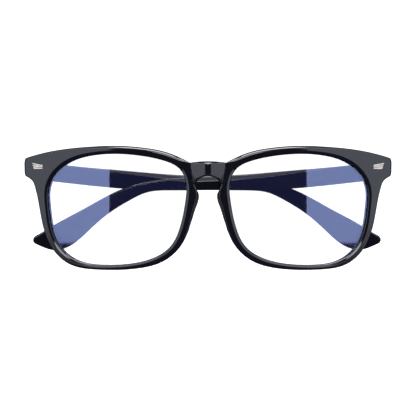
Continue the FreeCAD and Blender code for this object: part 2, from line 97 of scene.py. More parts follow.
def spline(points, spacing, closed=False):
    """Points spaced evenly along a cubic curve through the given ones."""
    p = np.array(points, float)
    if closed:
        p = np.vstack([p, p[:1]])
    knot = np.r_[0.0, np.cumsum(np.linalg.norm(np.diff(p, axis=0), axis=1))]
    gap = np.diff(knot)
    rise = np.diff(p, axis=0) / gap[:, None]
    n = len(p)
    a, b = np.zeros((n, n)), np.zeros((n, 2))
    for i in range(1, n - 1):
        a[i, i - 1 : i + 2] = gap[i], 2.0 * (gap[i - 1] + gap[i]), gap[i - 1]
        b[i] = 3.0 * (gap[i] * rise[i - 1] + gap[i - 1] * rise[i])
    if closed:
        a[0, [n - 2, 0, 1]] = gap[0], 2.0 * (gap[-1] + gap[0]), gap[-1]
        b[0] = 3.0 * (gap[0] * rise[-1] + gap[-1] * rise[0])
        a[-1, 0], a[-1, -1] = 1.0, -1.0
    else:
        a[0, :2], b[0] = (2.0, 1.0), 3.0 * rise[0]
        a[-1, -2:], b[-1] = (1.0, 2.0), 3.0 * rise[-1]
    slope = np.linalg.solve(a, b)
    fine = np.linspace(0.0, knot[-1], CURVE_SAMPLES * n)
    i = np.clip(np.searchsorted(knot, fine, side="right") - 1, 0, n - 2)
    t = ((fine - knot[i]) / gap[i])[:, None]
    g = gap[i][:, None]
    curve = (
        (1 + 2 * t) * (1 - t) ** 2 * p[i] + t * (1 - t) ** 2 * g * slope[i]
        + t**2 * (3 - 2 * t) * p[i + 1] + t**2 * (t - 1) * g * slope[i + 1]
    )
    return even(curve, spacing)


def even(line, spacing):
    """The same line with its points evenly spaced."""
    along = np.r_[0.0, np.cumsum(np.linalg.norm(np.diff(line, axis=0), axis=1))]
    count = max(2, int(round(along[-1] / spacing)) + 1)
    at = np.linspace(0.0, along[-1], count)
    return np.stack([np.interp(at, along, line[:, k]) for k in range(2)], axis=1)


def normals(line):
    """Unit vectors to the right of the line's direction, seen from the front."""
    along = np.gradient(line, axis=0)
    along /= np.linalg.norm(along, axis=1)[:, None]
    return np.stack([along[:, 1], -along[:, 0]], axis=1)


# %% [markdown]
# ## The outlines of the front
# These are the outline of one half of the front and its lens opening, seen from the front in millimetres:
# x away from the nose, z up. The other half is a mirror image. Tumbled plastic has no sharp corners, so the
# half outline is softened a little along its length, by averaging each place with its neighbours. A bevel
# on the finished mesh would soften its edges too, but not these corners in the outline.

# %% Half of the front's outline
APERTURE = [
    (62.2, 25.0), (62.2, 31.6), (59.5, 37.2), (54.0, 41.7), (45.2, 44.3), (35.4, 44.9), (25.5, 44.0),
    (16.5, 42.0), (11.0, 39.0), (8.6, 34.0), (8.8, 26.5), (10.9, 16.5), (14.6, 9.2), (21.0, 4.9),
    (30.0, 2.6), (41.2, 2.1), (50.3, 3.5), (56.7, 7.7), (60.5, 14.9),
]
BRIDGE_TOP = [(0.0, 42.1), (3.5, 41.95), (6.9, 41.5)]
BROW = [
    (6.9, 41.5), (9.2, 42.7), (12.4, 44.2), (16.6, 45.7), (26.5, 47.5), (35.4, 48.1), (45.6, 47.8),
    (55.6, 46.9), (66.1, 44.9), (70.0, 43.8),
]
END_PIECE = [
    (70.0, 43.8), (71.1, 43.25), (71.45, 42.3), (71.5, 39.7), (71.3, 37.1), (71.0, 36.45), (70.4, 36.1),
]
CHEEK = [
    (70.4, 36.1), (68.7, 34.8), (67.4, 31.9), (66.3, 27.3), (64.8, 19.2), (62.9, 12.7), (59.6, 6.9),
    (53.4, 2.0), (44.0, 0.2), (35.3, 0.04), (27.0, 0.65), (18.2, 3.0), (10.7, 9.2), (7.1, 17.0),
    (5.0, 25.5), (4.1, 29.2), (5.1, 32.9),
]
KEYHOLE_TOP = 36.3
KEYHOLE_SIDE = np.array([5.1, 32.9])  # where the keyhole's arch starts
EYE_MIDDLE = np.array([35.4, 24.5])  # every outline is seen whole from here

keyhole_rise = KEYHOLE_TOP - KEYHOLE_SIDE[1]
keyhole_radius = (KEYHOLE_SIDE[0] ** 2 + keyhole_rise**2) / (2.0 * keyhole_rise)
arch = [
    (keyhole_radius * math.sin(a), KEYHOLE_TOP - keyhole_radius * (1.0 - math.cos(a)))
    for a in np.linspace(math.asin(KEYHOLE_SIDE[0] / keyhole_radius), 0.0, 13)
]
SKETCH_STEP = 0.1
half = np.vstack(
    [spline(BRIDGE_TOP, SKETCH_STEP), spline(BROW, SKETCH_STEP)[1:], spline(END_PIECE, SKETCH_STEP)[1:],
     spline(CHEEK, SKETCH_STEP)[1:], np.array(arch)[1:]]
)
ACROSS = np.array([-1.0, 1.0])
PAST_MIDDLE = 80  # samples of the other half that the softening may use
SOFTEN_STEP = 0.08
SOFTENING = 5  # samples on each side
longer = np.vstack([half[1:PAST_MIDDLE][::-1] * ACROSS, half, half[-PAST_MIDDLE:-1][::-1] * ACROSS])
longer = even(longer, SOFTEN_STEP)
weights = np.hanning(2 * SOFTENING + 3)[1:-1]
weights /= weights.sum()
soft = np.stack([np.convolve(longer[:, k], weights, "valid") for k in range(2)], axis=1)

WITHIN_BRIDGE = 40.0  # a height between the bridge's top and the keyhole
STEP = 0.32
this_half = soft[:, 0] > 0
first = np.flatnonzero(this_half & (soft[:, 1] > WITHIN_BRIDGE))[0]
last = np.flatnonzero(this_half & (soft[:, 1] < WITHIN_BRIDGE))[-1]
outline = even(np.vstack([[[0.0, soft[first, 1]]], soft[first : last + 1], [[0.0, soft[last, 1]]]]), STEP)
outward = -normals(outline)
outward[0], outward[-1] = (0.0, 1.0), (0.0, -1.0)
SAME_ANGLE = 1e-6
LEAST_TURN = 1e-4  # degrees from each point to the next, so that the angles always fall
angle = np.degrees(np.arctan2(*(outline - EYE_MIDDLE).T[::-1])) % 360.0
angle = np.where(angle > angle[0] + SAME_ANGLE, angle - 360.0, angle)
angle = np.minimum.accumulate(angle) - LEAST_TURN * np.arange(len(angle))
print("outline", len(outline), "points, from", round(angle[0], 1), "to", round(angle[-1], 1), "degrees")

# %% [markdown]
# ## The bent face
# The front is cut from flat sheet and then bent in a warm press, so its walls stay square to the bent face
# instead of running straight back. Blender's Simple Deform could bend a flat mesh, but it gives no say over
# the walls. So a place on the front is given as x and z on the face and a depth behind it, and one function
# bends that into the room. The bridge stands forward of the bend as a rounded roof, cut off at a crease
# where it meets the rims. The end pieces carry straight walls, because the hinges sit behind them.

# %% From face coordinates to the room
ROOF_SOFT = 1.8  # rounding of the roof's ridge
ROOF_FOOT = 6.8  # where its slopes would come down to the face
ROOF_FADE = (27.0, 33.0)  # it rises out of the nose sides between these heights
CREASE_Z = [28.0, 30.5, 34.0, 41.5]
CREASE_X = [3.6, 4.4, 5.2, 6.7]
CREASE_HALF = 0.2  # half the width of the small wall at the crease
END_X = (56.0, 64.0)  # walls turn from square to straight between these, above END_Z
END_Z = (33.5, 36.5)


def smooth(x, low, high):
    """0 below low, 1 above high, and a smooth rise between."""
    t = np.clip((np.asarray(x, float) - low) / (high - low), 0.0, 1.0)
    return t * t * (3.0 - 2.0 * t)


def roof(x, z):
    """How far the bridge stands out of the face."""
    crease = np.interp(z, CREASE_Z, CREASE_X)
    rise = 1.0 - (np.hypot(x, ROOF_SOFT) - ROOF_SOFT) / (math.hypot(ROOF_FOOT, ROOF_SOFT) - ROOF_SOFT)
    ends = 1.0 - smooth(x, crease - CREASE_HALF, crease + CREASE_HALF)
    return BRIDGE_PROUD * np.clip(rise, 0.0, None) * ends * smooth(z, *ROOF_FADE)


def bend(x, z, depth):
    """Face coordinates as points in the room, all in millimetres."""
    x, z, depth = np.broadcast_arrays(*(np.asarray(v, float) for v in (x, z, depth)))
    tilt = np.arcsin(x / FACE_RADIUS)
    straight = smooth(np.abs(x), *END_X) * smooth(z, *END_Z)
    inwards = depth * np.sin(tilt) * (1.0 - straight)
    back = depth * np.where(straight > 0, 1.0 - (1.0 - straight) * (1.0 - np.cos(tilt)), np.cos(tilt))
    proud = roof(np.abs(x), z) * np.clip(1.0 - depth / RIM_DEPTH, 0.0, 1.0)
    return np.stack([x - inwards, AXIS_Y - FACE_RADIUS * np.cos(tilt) + back - proud, z], axis=-1)


# %% [markdown]
# ## Meshes from rings
# Most pieces here are rings of points that follow one another over a surface. That gives even quads along
# every edge, which a gloss needs, where a boolean or a remesh would leave uneven ones. Helpers turn a grid
# of points into quads, close the ends of a tube, and join several grids into one object with welded seams.


# %% Grids into meshes
def grid_faces(rows, columns, closed_rows=False, closed_columns=False, skip=None):
    """Quads between neighbouring rows and columns, as vertex numbers."""
    r = np.arange(rows if closed_rows else rows - 1)
    c = np.arange(columns if closed_columns else columns - 1)
    rr, cc = np.meshgrid(r, c, indexing="ij")
    if skip is not None:
        keep = ~skip[rr, cc]
        rr, cc = rr[keep], cc[keep]
    rr, cc = rr.ravel(), cc.ravel()
    r2, c2 = (rr + 1) % rows, (cc + 1) % columns
    return np.stack([rr * columns + cc, r2 * columns + cc, r2 * columns + c2, rr * columns + c2], axis=1)


def capped_faces(rings):
    """Quads of a closed tube of rings, and one face over each end."""
    rows, columns = rings.shape[:2]
    faces = [tuple(face) for face in grid_faces(rows, columns, closed_columns=True)]
    faces.append(tuple(range(columns)))
    faces.append(tuple(range((rows - 1) * columns, rows * columns)))
    return faces


SEAM_WELD = 0.004  # points this near to each other become one
FLAT_FACE = 1e-7  # metres: an edge shorter than this goes


def mesh_object(name, parts, weld=SEAM_WELD):
    """One object from (points in millimetres, faces) pairs, welded and with its faces turned outwards."""
    points, faces, start = [], [], 0
    for place, quads in parts:
        place = np.asarray(place).reshape(-1, 3)
        points.append(place)
        faces += [[int(i) + start for i in quad] for quad in quads]
        start += len(place)
    mesh = bpy.data.meshes.new(name)
    mesh.from_pydata((np.vstack(points) * MM).tolist(), [], faces)
    work = bmesh.new()
    work.from_mesh(mesh)
    bmesh.ops.remove_doubles(work, verts=work.verts, dist=weld * MM)
    bmesh.ops.dissolve_degenerate(work, edges=work.edges, dist=FLAT_FACE)
    bmesh.ops.recalc_face_normals(work, faces=work.faces)
    work.to_mesh(mesh)
    work.free()
    mesh.shade_smooth()
    made = bpy.data.objects.new(name, mesh)
    bpy.context.scene.collection.objects.link(made)
    print(name, "has", len(mesh.polygons), "faces")
    return made


FLIP = np.array([-1.0, 1.0, 1.0])


def mirrored(parts):
    """The parts' mirror images across the middle."""
    return [(np.asarray(place) * FLIP, quads) for place, quads in parts]


# %% [markdown]
# ## The front
# A rim's cross-section starts behind the lens opening, comes forward over the opening's wall, a soft corner
# and a gentle bevel to the face, then goes over the rounded outer edge and back round to its start. One
# such section runs round each eye, and the sections share their points with the outline and the lens
# opening. At the middle the two halves meet along a seam that has no wall. A bevel modifier would be
# shorter, but the bevel here has to narrow where the rim does, and the brow is rounder than the rest.

# %% Cross-section of the rims
# (distance into the rim, depth) from the lens opening outwards
INSIDE = [
    (0.50, 4.20), (0.30, 4.17), (0.13, 4.06), (0.03, 3.90), (0.0, 3.70), (0.0, 2.40), (0.0, 0.95),
    (0.015, 0.74), (0.06, 0.58), (0.14, 0.46), (0.25, 0.375), (0.32, 0.335), (0.58, 0.215), (0.82, 0.105),
    (0.90, 0.070), (1.00, 0.033), (1.10, 0.009), (1.20, 0.0),
]
EDGE_TURN = np.radians([0, 12, 24, 36, 48, 60, 72, 84, 90])  # steps over the outer edge's rounding
# (distance into the rim, depth) down the outer wall and over its back edge
BEHIND = [(0.0, 3.60), (0.03, 3.80), (0.12, 3.99), (0.28, 4.13), (0.48, 4.19), (0.62, 4.20)]
FACE_STRIPS = 22
BACK_STRIPS = 10
EDGE_ROUND = 0.62  # rounding of the outer edge
BROW_ROUND = 0.95  # more of it along the brow, between the heights ON_BROW_Z and up to the widths ON_BROW_X
ARCH_ROUND = 0.3  # more of it round the keyhole's arch, from the heights ON_ARCH_Z upwards
ON_BROW_Z = (38.5, 41.2)
ON_BROW_X = (40.0, 58.0)
ON_ARCH_Z = (32.0, 34.0)
ARCH_END = (7.0, 38.0)  # the arch lies nearer to the middle and lower than this
CREASE_REACH = 2.4  # the rounding is less within this distance of the bridge's crease
CREASE_LESS = 0.45

ring_fine = spline(APERTURE, 0.15, closed=True)
ring_angle = np.degrees(np.arctan2(*(ring_fine - EYE_MIDDLE).T[::-1]))
order = np.argsort(ring_angle)
ring_reach = np.linalg.norm(ring_fine - EYE_MIDDLE, axis=1)[order]
ring_angle = ring_angle[order]

SEAM_POINTS = 16
seam_z = np.linspace(outline[-1, 1], outline[0, 1], SEAM_POINTS + 2)[1:-1]
around = np.r_[angle, np.linspace(angle[-1], angle[0] - 360.0, SEAM_POINTS + 2)[1:-1]]
turn = np.radians(around)
reach = np.interp((around + 180.0) % 360.0 - 180.0, ring_angle, ring_reach, period=360.0)
opening = EYE_MIDDLE + reach[:, None] * np.stack([np.cos(turn), np.sin(turn)], axis=1)
into_rim = np.roll(opening, -1, axis=0) - np.roll(opening, 1, axis=0)
into_rim /= np.linalg.norm(into_rim, axis=1)[:, None]
into_rim = np.stack([-into_rim[:, 1], into_rim[:, 0]], axis=1)
into_rim *= np.sign(((opening - EYE_MIDDLE) * into_rim).sum(axis=1))[:, None]

middle_point = len(outline) - 1
seam_share = (seam_z - outline[-1, 1]) / (outline[0, 1] - outline[-1, 1])


def outer_ring(inset):
    """The outline moved into the rim, closed along the seam."""
    moved = outline - np.asarray(inset).reshape(-1, 1) * outward
    z = moved[-1, 1] + seam_share * (moved[0, 1] - moved[-1, 1])
    return np.vstack([moved, np.stack([np.zeros(SEAM_POINTS), z], axis=1)])


from_crease = 1.0 - np.exp(-(((outline[:, 0] - BRIDGE_TOP[-1][0]) / CREASE_REACH) ** 2))
on_brow = smooth(outline[:, 1], *ON_BROW_Z) * (1.0 - smooth(outline[:, 0], *ON_BROW_X))
on_arch = smooth(outline[:, 1], *ON_ARCH_Z) * (outline[:, 0] < ARCH_END[0]) * (outline[:, 1] < ARCH_END[1])
rounding = (
    EDGE_ROUND * (1.0 - CREASE_LESS * on_brow * (1.0 - from_crease))
    + BROW_ROUND * on_brow * from_crease + ARCH_ROUND * on_arch
)
# A narrow rim has less room for its bevel.
FACE_LEFT = 0.12
BEVEL_LEAST = 0.35  # share of the full bevel
BEVEL_DEPTH = 1.0  # what lies deeper is the opening's wall and isn't narrowed
face_room = np.linalg.norm(outer_ring(rounding) - opening, axis=1)
squeeze = np.clip((face_room - FACE_LEFT) / INSIDE[-1][0], BEVEL_LEAST, 1.0)

layers = []
for into, depth in INSIDE:
    squeezed = into * squeeze if depth < BEVEL_DEPTH else np.full_like(squeeze, into)
    ring = opening + squeezed[:, None] * into_rim
    layers.append(bend(ring[:, 0], ring[:, 1], depth))
inner_edge, face_edge = ring, outer_ring(rounding)
for k in range(1, FACE_STRIPS):
    t = k / FACE_STRIPS
    ring = inner_edge + t * (face_edge - inner_edge)
    layers.append(bend(ring[:, 0], ring[:, 1], 0.0))
first_outer = len(layers)
closed_rounding = np.r_[rounding, np.full(SEAM_POINTS, rounding[0])]
for corner in EDGE_TURN:
    ring = outer_ring(rounding * (1.0 - math.sin(corner)))
    layers.append(bend(ring[:, 0], ring[:, 1], closed_rounding * (1.0 - math.cos(corner))))
for into, depth in BEHIND:
    ring = outer_ring(into)
    layers.append(bend(ring[:, 0], ring[:, 1], depth))
last_outer = len(layers) - 1
outer_back = ring
inner_back = opening + INSIDE[0][0] * into_rim
for k in range(1, BACK_STRIPS):
    t = k / BACK_STRIPS
    ring = outer_back + t * (inner_back - outer_back)
    layers.append(bend(ring[:, 0], ring[:, 1], RIM_DEPTH))
rims = np.array(layers)

# %% Quads of one half, without a wall along the seam
skip = np.zeros(rims.shape[:2], bool)
skip[first_outer:last_outer, middle_point:] = True
rim_faces = grid_faces(*rims.shape[:2], closed_rows=True, closed_columns=True, skip=skip)
print("one half of the front has", len(rim_faces), "quads in", len(rims), "rings of", rims.shape[1])

# %% [markdown]
# ## Solids from an outline
# The return behind each end piece and the flat seat of the hinge are outlines with a thickness and soft
# edges. A curve object with an extrusion and a bevel makes such a thing too, but with the same rounding on
# both sides. So one helper lofts a slab: rings near each face are drawn in by that face's own rounding, and
# both ends are closed.


# %% Slab from a closed outline
def slab(loop, near, far, round_near, round_far):
    """A closed outline (x, z) between two depths along Y, with rounded edges and flat ends."""
    loop = np.asarray(loop, float)
    along = np.roll(loop, -1, axis=0) - np.roll(loop, 1, axis=0)
    along /= np.linalg.norm(along, axis=1)[:, None]
    out = np.stack([along[:, 1], -along[:, 0]], axis=1)
    area = 0.5 * np.sum(loop[:, 0] * np.roll(loop[:, 1], -1) - np.roll(loop[:, 0], -1) * loop[:, 1])
    out *= np.sign(area)
    quarter = np.radians([0, 18, 36, 54, 72, 90])
    steps = [(round_near * (1 - math.sin(q)), near + round_near * (1 - math.cos(q))) for q in quarter]
    steps += [(round_far * (1 - math.cos(q)), far - round_far * (1 - math.sin(q))) for q in quarter]
    rings = []
    for inset, depth in steps:
        ring = loop - inset * out
        rings.append(np.stack([ring[:, 0], np.full(len(ring), depth), ring[:, 1]], axis=1))
    rings = np.array(rings)
    return rings, capped_faces(rings)


# %% Return and hinge seat behind the end piece
RETURN_X = 66.7
SEAT_X = 60.2
SEAT_Y = BUTT_Y - 2.9
END_LOW = 36.1
LOWER_EDGE = END_LOW + 0.02
SEAT_OVERLAP = 0.6  # the seat reaches this far into the return
WALL_POINTS = 9
inside_return = np.flatnonzero((outline[:, 0] > RETURN_X) & (outline[:, 1] > LOWER_EDGE))
return_edge = outline[inside_return]
corner_top_z = return_edge[0, 1]
corner_low = np.array([[70.0, LOWER_EDGE], [RETURN_X + 0.25, LOWER_EDGE], [RETURN_X, END_LOW + 0.3]])
corner_top = np.array([[RETURN_X, corner_top_z - 0.35], [RETURN_X + 0.25, corner_top_z - 0.06]])
wall_z = np.linspace(END_LOW + 0.8, corner_top_z - 0.8, WALL_POINTS)
wall = np.stack([np.full(WALL_POINTS, RETURN_X), wall_z], axis=1)
return_loop = np.vstack([return_edge[1:], corner_low, wall, corner_top])


def face_depth(x):
    """Where the bent face lies at a distance from the middle."""
    return AXIS_Y - math.sqrt(FACE_RADIUS**2 - x**2)


end_return = slab(return_loop, face_depth(69.0) + 1.6, BUTT_Y, round_near=0.05, round_far=0.35)

seat_end = RETURN_X + SEAT_OVERLAP
along_seat = (outline[:, 0] > SEAT_X) & (outline[:, 0] < seat_end) & (outline[:, 1] > WITHIN_BRIDGE)
top_of_seat = outline[along_seat]
seat_loop = np.vstack(
    [top_of_seat, [[seat_end, 43.0], [seat_end, 37.0], [RETURN_X + 0.4, LOWER_EDGE],
     [61.6, LOWER_EDGE], [61.1, END_LOW + 0.1], [60.9, END_LOW + 0.5], [60.3, 38.2], [SEAT_X, 38.8],
     [SEAT_X, 42.0], [SEAT_X, top_of_seat[0, 1] - 0.5]]]
)
hinge_seat = slab(seat_loop, face_depth(62.0) + 2.6, SEAT_Y, round_near=0.05, round_far=0.25)

front_half = [(rims, rim_faces), end_return, hinge_seat]
front = mesh_object("front", front_half + mirrored(front_half))

# %% [markdown]
# ## The lenses
# Each lens is a thin meniscus: bent like the face from side to side, and all but flat from top to bottom,
# which keeps its reflections upright. It could be cut from a sphere, but then it wouldn't follow the groove.
# Its edge sits in the rim's groove, out of sight, and its rings shrink from there to the middle of the lens.

# %% Lenses
LENS_FRONT = 1.2  # behind the face
LENS_THICK = 1.8
GROOVE = 0.6
BELLY = 40000.0  # radius from top to bottom
LENS_HALF_TALL = 21.0
LENS_MIDDLE_Z = 24.0
LENS_RINGS = 26


def lens_sheet(depth):
    """One face of a lens, from the middle outwards."""
    rings = []
    edge = opening + GROOVE * into_rim
    for k in range(1, LENS_RINGS + 1):
        ring = EYE_MIDDLE + (k / LENS_RINGS) * (edge - EYE_MIDDLE)
        belly = (LENS_HALF_TALL**2 - (ring[:, 1] - LENS_MIDDLE_Z) ** 2) / (2.0 * BELLY)
        rings.append(bend(ring[:, 0], ring[:, 1], depth - belly))
    return rings


lens_rings = np.array(lens_sheet(LENS_FRONT) + lens_sheet(LENS_FRONT + LENS_THICK)[::-1])
lens_parts = [(lens_rings, capped_faces(lens_rings))]
lenses = {
    "left": mesh_object("lens_left", lens_parts),
    "right": mesh_object("lens_right", mirrored(lens_parts)),
}

# %% [markdown]
# ## The nose pads
# The pads are moulded and bonded behind the rims beside the nose. Each is a smooth mound: its outline hugs
# the rim's edge and shows as a sliver beside it, and its back swells towards the face. A squashed sphere
# would have the swell but not the outline, so rings shrink from the outline and rise over a dome.

# %% Nose pads
PAD_OUTLINE = [
    (4.7, 31.0), (3.7, 29.9), (3.45, 28.4), (4.9, 23.4), (6.0, 19.8), (6.9, 17.1), (7.8, 14.4), (9.2, 12.95),
    (10.3, 14.2), (9.6, 18.5), (8.6, 23.5), (7.6, 28.0), (6.5, 30.6),
]
PAD_MIDDLE = np.array([7.2, 21.8])
PAD_START = 2.0  # behind the foremost line of the face
PAD_DEEP = 5.6
PAD_RINGS = 22
PAD_SMALLEST = 0.08  # the last ring's share of the outline
DOME_MIDDLE = np.array([7.6, 22.2])
DOME_REACH = np.array([5.4, 11.5])
pad_edge = spline(PAD_OUTLINE, 0.3, closed=True)[:-1]
pad_rings = []
for share in np.linspace(1.0, PAD_SMALLEST, PAD_RINGS):
    ring = PAD_MIDDLE + share * (pad_edge - PAD_MIDDLE)
    off_middle = (((ring - DOME_MIDDLE) / DOME_REACH) ** 2).sum(axis=1)
    dome = np.sqrt(np.clip(1.0 - off_middle, 0.0, 1.0))
    swell = (1.0 - share**4) ** 0.5
    y = FACE_Y + PAD_START + PAD_DEEP * dome * swell
    pad_rings.append(np.stack([ring[:, 0], y, ring[:, 1]], axis=1))
pad_rings = np.array(pad_rings)
pad_parts = [(pad_rings, capped_faces(pad_rings))]
pads = {
    "left": mesh_object("nose_pad_left", pad_parts),
    "right": mesh_object("nose_pad_right", mirrored(pad_parts)),
}

# %% [markdown]
# ## The temples
# A temple is milled from sheet and bowed a little. Its inner face has a slanted band along the top, which
# grows from the hinge to the middle, and another along the lower edge, which grows towards the tip. A curve
# with a bevel profile can't change its profile along the way, so the temple is lofted through cross-sections
# that run from the lower edge to the upper one, and each section is worked out for its own place.

# %% Temple outline, from the hinge to the tip
# The temple on the wearer's right, folded: length along x, height along z.
TOP_EDGE = [
    (-64.85, 42.6), (-61.5, 41.7), (-57.0, 41.0), (-34.7, 38.9), (-11.0, 37.0), (0.0, 36.5), (12.2, 35.7),
    (22.4, 34.4), (28.6, 33.1), (34.7, 31.0), (48.0, 24.0), (61.3, 16.7), (66.3, 13.7), (67.9, 12.6),
    (68.4, 11.6),
]
LOW_EDGE = [
    (-64.85, 34.9), (-57.0, 34.0), (-34.4, 31.7), (-20.8, 31.0), (0.0, 31.0), (16.0, 30.9), (23.9, 30.1),
    (30.5, 27.1), (37.0, 23.2), (46.2, 15.6), (55.3, 8.5), (60.0, 7.5), (66.3, 9.5), (68.1, 10.7),
    (68.4, 11.6),
]
# Stations: places on the two edges that face each other, as numbers into the lists above.
FACING = [
    (0, 0), (2, 1), (3, 2), (4, 3.5), (5, 4.1), (6, 4.8), (7, 6), (8, 6.6), (9, 7.3), (10, 9), (11, 10.2),
    (12, 11.4), (13, 12.5), (14, 14),
]

# %% Stations along the temple
EDGE_STEP = 0.05
PACE = 10.0  # distance between stations on the curve that smooths their pace


def edge_at(points, number, stations):
    """Points along an edge at the facing stations, with a smooth pace between them."""
    fine = spline(points, EDGE_STEP)
    along = np.r_[0.0, np.cumsum(np.linalg.norm(np.diff(fine, axis=0), axis=1))]
    where = [int(np.argmin(np.linalg.norm(fine - np.array(point), axis=1))) for point in points]
    where[0], where[-1] = 0, len(fine) - 1
    marks = np.interp(number, np.arange(len(points)), along[where])
    pace = spline(np.stack([np.arange(len(marks)) * PACE, marks], axis=1), EDGE_STEP)
    reach = np.interp(stations * PACE, pace[:, 0], np.maximum.accumulate(pace[:, 1]))
    return np.stack([np.interp(reach, along, fine[:, k]) for k in range(2)], axis=1)


# The stations are close together at the butt end, and closer and closer towards the tip.
last_station = len(FACING) - 1
stations = np.r_[
    [0.0, 0.004, 0.012], np.linspace(0.03, last_station - 1.5, 190),
    last_station - np.geomspace(1.45, 0.004, 44),
]
upper = edge_at(TOP_EDGE, [top for top, low in FACING], stations)
lower = edge_at(LOW_EDGE, [low for top, low in FACING], stations)
centre_line = (upper + lower) / 2
print("the temple has", len(stations), "cross-sections")

# %% One cross-section of a temple
CORNER = 0.30  # rounding of the temple's edges
CORNER_MOST = 0.42  # share of the height or the thickness that a rounding may take
TOP_SLOPE, LOW_SLOPE = 0.45, 0.42  # how steeply the slanted bands go back
SLANT_MOST = 0.45  # share of the thickness that a slanted band may take


def section(height, thick, top_band, low_band):
    """Points (height along the section, depth) round one cross-section."""
    r = min(CORNER, CORNER_MOST * height, CORNER_MOST * thick)
    top_start = height - top_band
    if r < low_band < top_start:
        inner_heights = np.r_[
            np.linspace(r, low_band, 5)[:-1], np.linspace(low_band, top_start, 9)[:-1],
            np.linspace(top_start, height - r, 6),
        ]
    else:
        inner_heights = np.linspace(r, height - r, 18)

    def inner(at):
        """How deep the inner face lies at a height."""
        low_slant = LOW_SLOPE * np.clip(low_band - at, 0.0, None)
        top_slant = TOP_SLOPE * np.clip(at - top_start, 0.0, None)
        return np.minimum(low_slant + top_slant, SLANT_MOST * thick)

    points = list(zip(inner_heights, inner(inner_heights)))
    top_in, low_in = float(inner(height - r)), float(inner(r))
    r_top = min(r, SLANT_MOST * (thick - top_in))
    r_low = min(r, SLANT_MOST * (thick - low_in))
    for q in np.radians([15, 35, 55, 75, 90]):
        points.append((height - r + r * math.sin(q), top_in + r_top * (1 - math.cos(q))))
    for q in np.radians([90, 65, 45, 25, 8]):
        points.append((height - r + r * math.sin(q), thick - r_top * (1 - math.cos(q))))
    points += [(at, thick) for at in np.linspace(height - r, r, 9)]
    for q in np.radians([8, 25, 45, 65, 90]):
        points.append((r - r * math.sin(q), thick - r_low * (1 - math.cos(q))))
    for q in np.radians([90, 75, 55, 35, 15]):
        points.append((r - r * math.sin(q), low_in + r_low * (1 - math.cos(q))))
    return np.array(points)


# %% Loft the temples
HINGE_X = 64.9
TEMPLE_INSET = 1.9  # hinge axis to the temple's inner face
TEMPLE_THICK = 4.2
INNER_BOW, OUTER_BOW = 1900.0, 1500.0
LEAF_LONG = 14.0  # the hinge leaf lies on the first stretch, which is flat
LEAF_BED = -0.3  # the leaf and its rivets are sunk under a skin of plastic this thick
LEAF_FADE, BOW_FADE = 3.0, 12.0  # how far past the leaf the skin ends, and the bow is whole
# Width of each slanted band at its least, what it gains, and between which distances from the hinge.
TOP_BAND, TOP_GAIN, TOP_GROWS, TOP_ENDS = 0.55, 1.65, (15.0, 60.0), (68.0, 84.0)
LOW_BAND, LOW_GAIN, LOW_GROWS = 0.5, 1.3, (85.0, 112.0)
TIP_ROUND = 1.6
BUTT_ROUND = 0.3
BUTT_THIN = 0.75  # thickness of the butt end, as a share of the full one
BUTT_LOW = 0.3  # share of that narrowing which the height takes too
THINNEST = 0.02
LEAN = 4.0  # degrees by which the upper temple lies over the lower one


def rounded_end(way, long):
    """0 at an end of the temple, rising like a quarter circle to 1 at that length from it."""
    return math.sqrt(max(0.0, 1.0 - max(0.0, 1.0 - way / long) ** 2))


walked = np.r_[0.0, np.cumsum(np.linalg.norm(np.diff(centre_line, axis=0), axis=1))]
temple_rings = []
for up, low, middle, way in zip(upper, lower, centre_line, walked):
    u = middle[0] + HINGE_X
    height = max(float(np.linalg.norm(up - low)), THINNEST)
    skin = LEAF_BED * (1.0 - smooth(u, LEAF_LONG, LEAF_LONG + LEAF_FADE))
    inner_y = TEMPLE_INSET + skin - u * u / (2 * INNER_BOW) * smooth(u, LEAF_LONG, LEAF_LONG + BOW_FADE)
    outer_y = TEMPLE_INSET + TEMPLE_THICK - u * u / (2 * OUTER_BOW)
    middle_y = (inner_y + outer_y) / 2
    top_band = TOP_BAND + TOP_GAIN * smooth(u, *TOP_GROWS) * (1.0 - smooth(u, *TOP_ENDS))
    low_band = LOW_BAND + LOW_GAIN * smooth(u, *LOW_GROWS)
    shape = section(height, outer_y - inner_y, top_band, low_band)
    butt = BUTT_THIN + (1.0 - BUTT_THIN) * rounded_end(way, BUTT_ROUND)
    spot = low + shape[:, :1] / height * (up - low)
    spot = middle + (spot - middle) * (1.0 - BUTT_LOW * (1.0 - butt))
    narrowed = butt * rounded_end(walked[-1] - way, TIP_ROUND)
    y = middle_y + (inner_y + shape[:, 1] - middle_y) * narrowed
    temple_rings.append(np.stack([spot[:, 0], BUTT_Y + y, spot[:, 1]], axis=1))
temple_rings = np.array(temple_rings)
temple_faces = capped_faces(temple_rings)


def leaning(points):
    """The upper temple turned about its own hinge to lie over the lower one."""
    hinge = np.array([-HINGE_X, BUTT_Y, 0.0])
    c, s = math.cos(math.radians(LEAN)), math.sin(math.radians(LEAN))
    return (points - hinge) @ np.array([[c, s, 0.0], [-s, c, 0.0], [0.0, 0.0, 1.0]]) + hinge


temples = {
    "left": mesh_object("temple_left", mirrored([(temple_rings, temple_faces)])),
    "right": mesh_object("temple_right", [(leaning(temple_rings), temple_faces)]),
}

# %% [markdown]
# ## The plaques
# Each end piece carries a small cast plaque: a flag of three rounded ribs whose outer ends step back one
# after the other. A bump could draw the ribs, but the flag's toothed edge would stay flat. So each rib is a
# domed strip with its own end, and a thin plate closes the gaps between them.

# %% Plaques
PLAQUE_X, PLAQUE_Z = 66.4, 40.2
PLAQUE_PROUD = 0.35
PLAQUE_VALLEY = 0.24  # the ribs meet at this height
PLAQUE_BACK = 0.3  # how far the plaque reaches into the face
PLAQUE_WELD = 0.0005
PLATE = [
    (2.45, 1.35), (1.75, 0.75), (2.0, 0.35), (1.4, -0.20), (1.65, -0.60), (1.15, -1.25), (-2.3, -1.20),
    (-2.3, 0.45),
]
PLATE_PROUD = 0.27
